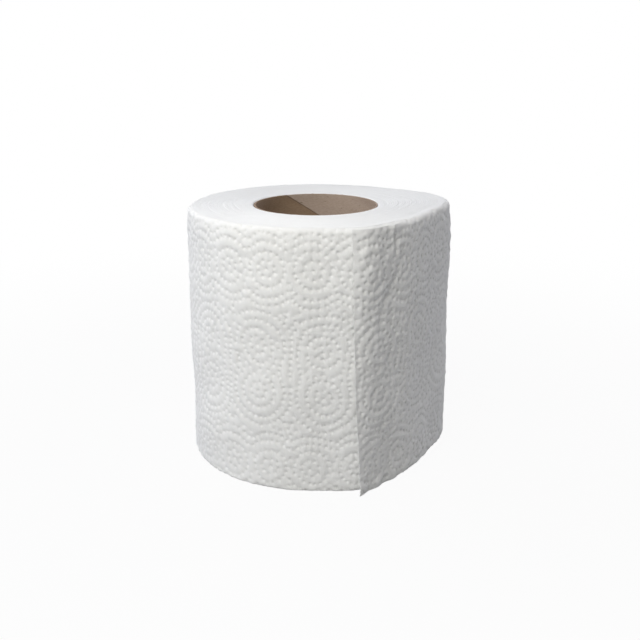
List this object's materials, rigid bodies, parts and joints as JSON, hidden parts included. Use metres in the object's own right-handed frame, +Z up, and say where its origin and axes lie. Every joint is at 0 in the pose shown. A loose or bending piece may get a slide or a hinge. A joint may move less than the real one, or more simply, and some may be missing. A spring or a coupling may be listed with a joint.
{
  "type": "toilet paper roll",
  "caption": "Soft white embossed toilet paper wound on a cardboard core, pressed a little out of round, with a loose tail that lifts at the bottom.",
  "frame": {"origin": "on the axis of the core's bore, at the base that the roll stands on", "axes": "+Z up along the core, -Y to the front, where the loose tail of the paper ends at the front right"},
  "size_m": [0.099, 0.099, 0.095],
  "materials": {
    "tissue": "soft matt embossed tissue",
    "core_board": "plain grey-brown chipboard"
  },
  "bodies": {
    "root": {"tissue_roll": "tissue", "cardboard_core": "core_board"}
  },
  "joints": []
}
